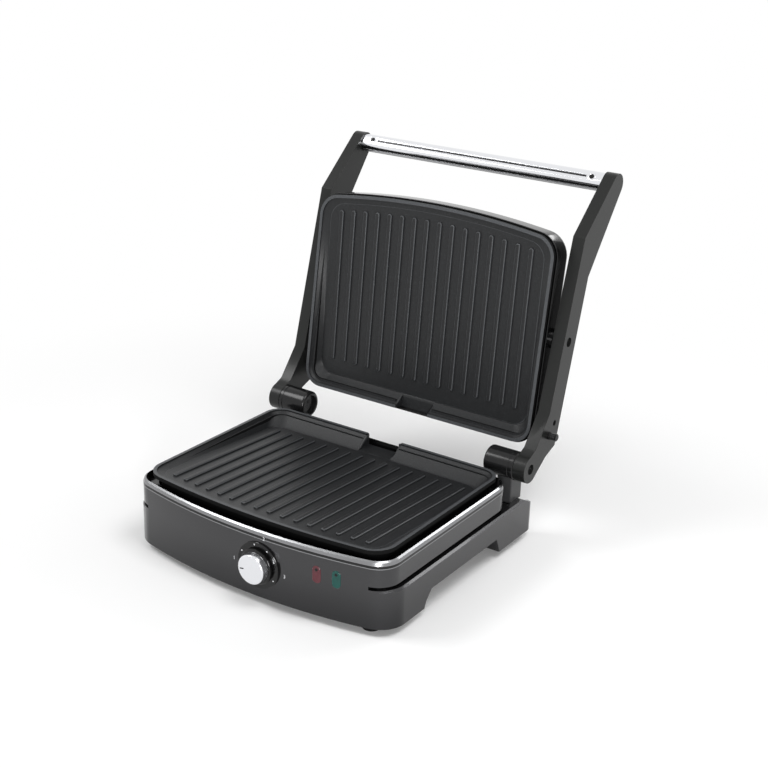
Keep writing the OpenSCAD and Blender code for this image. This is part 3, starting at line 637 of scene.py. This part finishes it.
print("Plate drawing ready")

# %% [markdown]
# Each rib is a long bar with round ends. A circle is cut in half by moving the points of its rear half
# back, and its face is pulled up in ever smaller steps, which rounds the top. Its shoulders get the
# paler coating, a painted highlight.

# %% Ribs
RIBS, RIB_PITCH, RIB_RADIUS = 16, 15.6, 2.9
RIB_SETBACK, RIB_REAR, RIB_SINK = 19.3, 76.7, 0.3
RIB_STEPS = ((0.25, 1.4), (0.3, 0.55), (0.45, 0.35), (0.6, 0.15))


def connected(verts):
    """All vertices that hang together with these."""
    found, edge = set(verts), set(verts)
    while edge:
        edge = {e.other_vert(v) for v in edge for e in v.link_edges} - found
        found |= edge
    return found


def rib(bm, x):
    front = x * x / (2 * BOW) - PLATE_FRONT + RIB_SETBACK
    face, verts = disc(bm, RIB_RADIUS, 20)
    stretch(bm, verts, RIB_REAR - front)
    bmesh.ops.translate(bm, verts=verts, vec=(x, front, -RIB_SINK))
    pull(bm, face, *RIB_STEPS)
    bar = connected(verts)
    bm.normal_update()
    # The shoulders get the paler coating: a painted highlight.
    for shoulder in {f for v in bar for f in v.link_faces}:
        if 0.3 < shoulder.normal.z < 0.9:
            shoulder.material_index = PAINTED_HIGHLIGHT_FINISH
    for v in bar:
        v.co.z += cook_z(v.co.y)


def ribbed_plate(rear):
    bm = plate(rear)
    for i in range(RIBS):
        rib(bm, (i - (RIBS - 1) / 2) * RIB_PITCH)
    return bm


finish_piece(ribbed_plate(COOK_REAR), "lower_grill", "coating rim rubber", "base", "lower_plate", smooth=40)

# %% [markdown]
# The lid's plate is the same casting turned over, with a steeper rear wall. It is flipped about the
# middle of the gap between the two rims, and then swung open with the lid about the pivot in the arms,
# as the photograph shows.

# %% Upper plate
PLATE_GAP = 0.4
UPPER_COOK_REAR = 96
PIVOT_SHUT, PIVOT_OPEN, LID_TURN = Vector((0, 0, 106.4)), Vector((0, 196.534, 203.787)), -98
OPEN = Matrix.Translation(PIVOT_OPEN) @ turned(LID_TURN, "X") @ Matrix.Translation(-PIVOT_SHUT)
bm = ribbed_plate(UPPER_COOK_REAR)
bmesh.ops.scale(bm, verts=bm.verts, vec=(1, 1, -1))
bmesh.ops.translate(bm, verts=bm.verts, vec=(0, 0, 2 * RIM + PLATE_GAP))
finish_piece(move(bm, OPEN), "upper_grill", "coating rim rubber", "lid", "upper_plate", smooth=40)

# %% [markdown]
# ## The lid's shell
#
# The lid is a glossy black tray behind the plate. Its back edge is pulled in over four steps that
# follow a quarter round. Its open side is a narrow lip with a deep step behind it, so that a dark gap
# shows between the lip and the plate's rim. A round boss on each side carries the pivot.

# %% Lid shell
LID_EDGE, LID_LOW, LID_HEIGHT = 1.75, 89.6, 18.8
LID_ROUND = ((0.55, 2.9), (1.5, 2.7), (2.3, 2.1), (2.9, 1.3))
LIP_WIDTH, LIP_DEPTH = 1.8, 11
BOSS_RADIUS, BOSS_START = 10.5, 145.1
bm, low = outline(LID_EDGE, LID_LOW)
top = solid(bm, low, LID_HEIGHT)
pull(bm, top, *LID_ROUND)
pull(bm, low, (LIP_WIDTH, 0), (0, -LIP_DEPTH))
soften(bm, 0.6, 2, 50)
for side in (-1, 1):
    face, verts = disc(bm, BOSS_RADIUS, 40)
    pull(bm, face, (0, 3.6), (0.35, 0.35), (0.4, 0.1))
    place = Matrix.Translation((side * BOSS_START, 0, PIVOT_SHUT.z)) @ turned(side * 90, "Y")
    move(bm, place, list(connected(verts)))
finish_piece(move(bm, OPEN), "lid_shell", "lid_black", "lid", "lid_housing")

# %% [markdown]
# ## Arms, base and other mouldings
#
# The solids of the arms and the base are already right in shape, and only sharp. A merged copy of each
# gets a small bevel on its edges, the size that the real part shows.

# %% Copy a solid
FLAT_ANGLE = 0.5


def from_solid(node):
    """A merged copy of a solid in millimetres, with the edges inside its flat faces cleared."""
    bm = bmesh.new()
    bm.from_mesh(nodes[node].data)
    bmesh.ops.translate(bm, verts=bm.verts, vec=-MIDDLE)
    bmesh.ops.scale(bm, verts=bm.verts, vec=(1 / MM,) * 3)
    bmesh.ops.remove_doubles(bm, verts=bm.verts, dist=0.001)
    bmesh.ops.dissolve_limit(bm, angle_limit=math.radians(FLAT_ANGLE), verts=bm.verts, edges=bm.edges)
    return bm


# %% Dress the solids
BODY = {name: body for body, members in frame["record"]["behaviour"]["bodies"].items() for name in members}
EDGES = {"bottom_cover": (0.5, 2), "arm_left": (1.5, 3), "arm_right": (1.5, 3),
         "drip_tray": (0.5, 2), "rubber_feet": (1.0, 2)}
for name, (width, steps) in EDGES.items():
    finish_piece(soften(from_solid(name), width, steps), name + "_piece", SLOT[name], BODY[name], name)

# %% [markdown]
# The base is one moulding in two finishes. Its top lip is glossy black, and its slanted outer faces get
# a paler metal, a painted highlight. A thin light line, also a painted highlight, parts it from the
# gunmetal wall. Two level cuts through the copy mark that line, and the faces above it and within it
# get their own finish. The smallest edges of this solid hold its bevels to a hair's width, which still
# parts its flat walls in the shading.

# %% Base with its lip
LINE_LOW, LINE_HIGH = 69.6, 70.3
LIP_BLACK, LINE_PAINTED_HIGHLIGHT, LIP_PAINTED_HIGHLIGHT = 1, 2, 3
bm = soften(from_solid("base_housing"), 0.8)
for z in (LINE_LOW, LINE_HIGH):
    bmesh.ops.bisect_plane(bm, geom=parts_of(bm.faces), plane_co=(0, 0, z), plane_no=(0, 0, 1), dist=1e-4)
# The slanted faces of the lip and the thin line below it get painted highlights.
for face in bm.faces:
    centre, normal = face.calc_center_median(), face.normal
    outside = centre.xy.dot(normal.xy) > 0
    if centre.z > LINE_HIGH:
        face.material_index = LIP_PAINTED_HIGHLIGHT if outside and 0.3 < normal.z < 0.93 else LIP_BLACK
    elif centre.z > LINE_LOW and outside and abs(normal.z) < 0.5:
        face.material_index = LINE_PAINTED_HIGHLIGHT
finish_piece(bm, "base_shell", "gunmetal lip_black edge_line lip_shine", "base", "base_housing")

# %% [markdown]
# ## Hinges
#
# Each hinge is a barrel on a post. A barrel is a turned part, so its profile is spun about the hinge
# axis: a rounded mouth with a recess for the pin, a long body and a collar beside the arm.

# %% A turned part
def spun(bm, profile, centre, axis, side=1, steps=56):
    """Spins a profile of (along, radius) points about an axis."""
    centre, axis = Vector(centre), Vector(axis)
    verts = [bm.verts.new(centre + axis * along * side + Vector((0, 0, radius)))
             for along, radius in profile]
    edges = [bm.edges.new(pair) for pair in zip(verts, verts[1:])]
    bmesh.ops.spin(bm, geom=verts + edges, cent=centre, axis=axis, angle=2 * math.pi, steps=steps,
                   use_merge=True)
    bmesh.ops.remove_doubles(bm, verts=bm.verts, dist=0.005)


# %% Barrels and posts
ALONG_X, ALONG_Y = (1, 0, 0), (0, 1, 0)
HINGE = Vector((0, 133, 85))
POST_IN, POST_OUT, POST_DEPTH = 131, 148, 11
POST_LOW, POST_HEIGHT = 46, 36
BARREL = (
    (119, 0), (119, 9.6), (115.6, 10.6), (115, 11.4), (115, 12.4), (115.5, 13.6), (116.6, 14.6),
    (118.2, 15), (143.2, 15), (143.6, 14.5), (144.6, 14.5), (145, 15), (148.4, 15), (149.2, 14.2), (149.2, 0),
)
for side, word in ((1, "right"), (-1, "left")):
    bm = bmesh.new()
    near, far = HINGE.y - POST_DEPTH, HINGE.y + POST_DEPTH
    corners = ((POST_IN, near), (POST_OUT, near), (POST_OUT, far), (POST_IN, far))
    solid(bm, bm.faces.new([bm.verts.new((side * x, y, POST_LOW)) for x, y in corners]), POST_HEIGHT)
    soften(bm, 1.2, 3)
    for face in bm.faces:
        face.material_index = 1
    spun(bm, BARREL, HINGE, ALONG_X, side)
    finish_piece(bm, "hinge_" + word, "bracket_grey post_grey", "base", "hinge_bracket_" + word)

# %% [markdown]
# ## Handle
#
# The handle is a black bar with a bright cover on its face. The cover is a strip of a ring, spun from
# one short edge and then stretched along the bar. Its face is flattened, and a thin groove runs along
# it between two screws. The groove's floor is gloss black: a painted shade in the groove.

# %% A strip of a ring
HANDLE = Vector((0, 279.897, 350.009))
TILT = Matrix.Translation(HANDLE) @ turned(139, "X")
HANDLE_HALF = 149.5
COVER_FACE = 8.8


def strip(bm, angles, radii, half, steps, flat=False):
    """A strip of a ring about the handle's axis, between two angles and two radii."""
    others = set(bm.faces)
    start, stop = (math.radians(angle) for angle in angles)
    ends = [bm.verts.new((-half, radius * math.cos(start), radius * math.sin(start))) for radius in radii]
    edge = bm.edges.new(ends)
    bmesh.ops.spin(bm, geom=ends + [edge], cent=(-half, 0, 0), axis=ALONG_X, angle=stop - start, steps=steps)
    section = [f for f in bm.faces if f not in others]
    if flat:
        for v in {v for f in section for v in f.verts}:
            if math.hypot(v.co.y, v.co.z) > radii[1] - 0.5:
                v.co.y = min(v.co.y, COVER_FACE)
    made = bmesh.ops.extrude_face_region(bm, geom=section)
    bmesh.ops.translate(bm, verts=new_verts(made), vec=(2 * half, 0, 0))


# %% Bright cover with its groove
GROOVE_HALF, GROOVE_REACH = 1.2, 130
bm = bmesh.new()
strip(bm, (-100, 54), (7.4, 9.8), HANDLE_HALF, 44, flat=True)
bmesh.ops.recalc_face_normals(bm, faces=bm.faces)
bmesh.ops.dissolve_limit(bm, angle_limit=math.radians(FLAT_ANGLE), verts=bm.verts, edges=bm.edges)
for place, way in (((0, 0, -GROOVE_HALF), (0, 0, 1)), ((0, 0, GROOVE_HALF), (0, 0, 1)),
                   ((-GROOVE_REACH, 0, 0), ALONG_X), ((GROOVE_REACH, 0, 0), ALONG_X)):
    front = [f for f in bm.faces if f.normal.y > 0.99 and abs(f.calc_center_median().y - COVER_FACE) < NEAR]
    bmesh.ops.bisect_plane(bm, geom=parts_of(front), plane_co=place, plane_no=way, dist=1e-4)
groove = next(f for f in bm.faces if f.normal.y > 0.99
              and abs(f.calc_center_median().z) < 0.1 and abs(f.calc_center_median().x) < 1)
pull(bm, groove, (0.15, -0.5), (0.1, -0.7))
# Gloss black on the groove's floor: painted shade.
groove.material_index = 1
soften(bm, 0.35, 2, 50)
finish_piece(move(bm, TILT), "handle_strip", "bright gloss_black", "arms", "handle_cover")

# %% Handle core and lower lip
CORE_RADIUS = 7.3
bm = bmesh.new()
core = [(-HANDLE_HALF, 0), (-HANDLE_HALF, CORE_RADIUS), (HANDLE_HALF, CORE_RADIUS), (HANDLE_HALF, 0)]
spun(bm, core, (0, 0, 0), ALONG_X)
strip(bm, (74, 258), (7.0, 9.6), HANDLE_HALF, 40)
strip(bm, (50, 76), (7.0, 8.6), HANDLE_HALF, 6)
finish_piece(move(bm, TILT), "handle_back", "black_plastic", "arms", "handle_core")
bm = bmesh.new()
strip(bm, (73, 96), (8.9, 9.8), HANDLE_HALF - 1, 8)
soften(bm, 0.25, 2, 50)
finish_piece(move(bm, TILT), "handle_lip", "satin", "arms")

# %% [markdown]
# Each screw sits in a small raised eye at the end of the groove.

# %% Handle screws
SCREW_X = 136
EYE = ((8.0, 2.7), (9.1, 2.75), (9.3, 3.0), (9.3, 3.5), (9.1, 4.1), (8.7, 4.3), (8.0, 4.3))
SCREW_HEAD = ((5.0, 0), (5.0, 2.8), (8.85, 2.8), (9.0, 2.4), (9.05, 0))
for side, word in ((1, "right"), (-1, "left")):
    bm = bmesh.new()
    spun(bm, EYE, (side * SCREW_X, 0, 0), ALONG_Y, steps=32)
    finish_piece(move(bm, TILT), "screw_eye_" + word, "bright", "arms")
bm = bmesh.new()
for side in (1, -1):
    spun(bm, SCREW_HEAD, (side * SCREW_X, 0, 0), ALONG_Y, steps=32)
finish_piece(move(bm, TILT), "handle_screw_heads", "gloss_black", "arms", "handle_screws")

# %% [markdown]
# ## Knob, dial and lamps
#
# The knob is turned too: a black skirt and a bright cap with a slightly hollow face. The dial behind it
# is a black disc with dots, and the plain numbers beside it stand on the bowed wall.

# %% The bowed wall and what stands on it
KNOB = Vector((19.5, 0, 42))
WALL_FRONT, WALL_BOW = 126, 600


def wall_y(x):
    return WALL_BOW - WALL_FRONT - math.sqrt(WALL_BOW ** 2 - x ** 2)


def on_wall(x, z, lift=0.0):
    """Stands a flat drawing up on the bowed front wall."""
    lean = Matrix.Rotation(math.asin(x / WALL_BOW), 4, "Z")
    return Matrix.Translation((x, wall_y(x) - lift, z)) @ lean @ turned(90, "X")


def around_knob(angle, radius):
    return KNOB + Vector((math.cos(math.radians(angle)), 0, math.sin(math.radians(angle)))) * radius


print("Wall at the knob:", round(wall_y(KNOB.x), 2))

# %% Knob
SKIRT = ((-127.5, 0), (-127.5, 17.4), (-128, 18), (-130.4, 18), (-131.1, 17.3), (-131.4, 16), (-131.4, 0))
CAP = ((-131.3, 0), (-131.3, 15.6), (-137.2, 15.05), (-138, 14.7), (-138.45, 14),
       (-138.5, 13.2), (-138.25, 12), (-138.1, 0))
MARK_Y, MARK_ANGLE, MARK_START = -138.2, 98, 8.6
for name, profile, paint, node in (("knob_ring", SKIRT, "gloss_black", "knob_skirt"),
                                   ("knob_face", CAP, "bright", "knob_cap")):
    bm = bmesh.new()
    spun(bm, profile, KNOB, ALONG_Y, steps=64)
    finish_piece(bm, name, paint, "knob", node)
bm = bmesh.new()
face, verts = disc(bm, 0.55, 12)
stretch(bm, verts, 3.4)
solid(bm, face, 0.25)
place = Matrix.Translation(KNOB + Vector((0, MARK_Y, 0))) @ turned(90, "X") @ turned(MARK_ANGLE, "Z")
finish_piece(move(bm, place @ Matrix.Translation((0, MARK_START, 0))), "knob_mark", "steel", "knob")

# %% Dial
DIAL = ((-124, 0), (-124, 24), (-126.7, 24), (-127.1, 23.6), (-127.2, 23), (-127.2, 0))
DOT = ((-127.1, 0), (-127.1, 0.85), (-127.28, 0.8), (-127.3, 0))
DOT_CIRCLE, DOT_ANGLES = 21.3, (207, 152, 100, 58, 25, -30)
bm = bmesh.new()
spun(bm, DIAL, KNOB, ALONG_Y, steps=72)
finish_piece(bm, "dial_disc", "gloss_black", "base", "dial_plate")
bm = bmesh.new()
for angle in DOT_ANGLES:
    spun(bm, DOT, around_knob(angle, DOT_CIRCLE), ALONG_Y, steps=12)
finish_piece(bm, "dial_dots", "print", "base")

# %% Numbers beside the dial
NUMBER_SIZE, NUMBER_CIRCLE = 5.2, 29.5
NUMBER_ANGLES = {"1": 184, "2": 78, "3": -7}


def number(text, angle):
    """A plain number as a thin raised mesh on the wall."""
    curve = bpy.data.curves.new("number_" + text, "FONT")
    curve.body, curve.size, curve.extrude = text, NUMBER_SIZE, 0.04
    curve.align_x = curve.align_y = "CENTER"
    holder = bpy.data.objects.new("number_" + text, curve)
    bpy.context.collection.objects.link(holder)
    bpy.context.view_layer.update()
    flat = bpy.data.meshes.new_from_object(holder.evaluated_get(bpy.context.evaluated_depsgraph_get()))
    bpy.data.objects.remove(holder)
    bm = bmesh.new()
    bm.from_mesh(flat)
    spot = around_knob(angle, NUMBER_CIRCLE)
    finish_piece(move(bm, on_wall(spot.x, spot.z, 0.03)), "dial_number_" + text, "print", "base")


for text, angle in NUMBER_ANGLES.items():
    number(text, angle)

# %% [markdown]
# The two lamps are domed lenses. A circle is stretched to a stadium, pushed out and pulled in at the
# edge. A darker spot near the top is the lamp that shows through the lens.

# %% Lamps
LENS_RADIUS, LENS_LENGTH, LENS_Z, LENS_SINK = 4.48, 9, 51, 2.5
LENS_STEPS = ((0, 2.6), (0.25, 0.3), (0.5, 0.22), (0.5, -0.12), (1.0, 0.05), (1.0, 0.02))
SPOT_RADIUS, SPOT_Y, SPOT_LIFT = 1.5, 5.0, 0.66
for name, x in (("red", 83), ("green", 103)):
    bm = bmesh.new()
    face, verts = disc(bm, LENS_RADIUS, 32)
    stretch(bm, verts, LENS_LENGTH)
    bmesh.ops.translate(bm, verts=verts, vec=(0, -LENS_LENGTH / 2, -LENS_SINK))
    pull(bm, face, *LENS_STEPS)
    spot, verts = disc(bm, SPOT_RADIUS, 16)
    bmesh.ops.translate(bm, verts=verts, vec=(0, SPOT_Y, SPOT_LIFT))
    spot.material_index = 1
    move(bm, on_wall(x, LENS_Z))
    finish_piece(bm, "lens_" + name, name + "_lens gloss_black", "base", "lamp_" + name)

# %% [markdown]
# ## Release button
#
# The button on the right arm is a small turned knob with rings for grip. It stands a little behind the
# line from the hinge along the arm.

# %% Release button
ARM_RISE = math.radians(74.5)
ALONG_ARM, BEHIND_ARM = 34, 26.5
along = Vector((0, math.cos(ARM_RISE), math.sin(ARM_RISE)))
behind = Vector((0, math.sin(ARM_RISE), -math.cos(ARM_RISE)))
grip = [(164.5 + i * 0.9, 4 - 0.35 * (i % 2)) for i in range(8)]
bm = bmesh.new()
spun(bm, [(157.75, 0), (157.75, 4), *grip, (171.8, 3.9), (172.4, 3.3), (172.5, 0)],
     HINGE + along * ALONG_ARM + behind * BEHIND_ARM, ALONG_X, steps=32)
finish_piece(bm, "release_knob", "black_plastic", "button", "release_button")
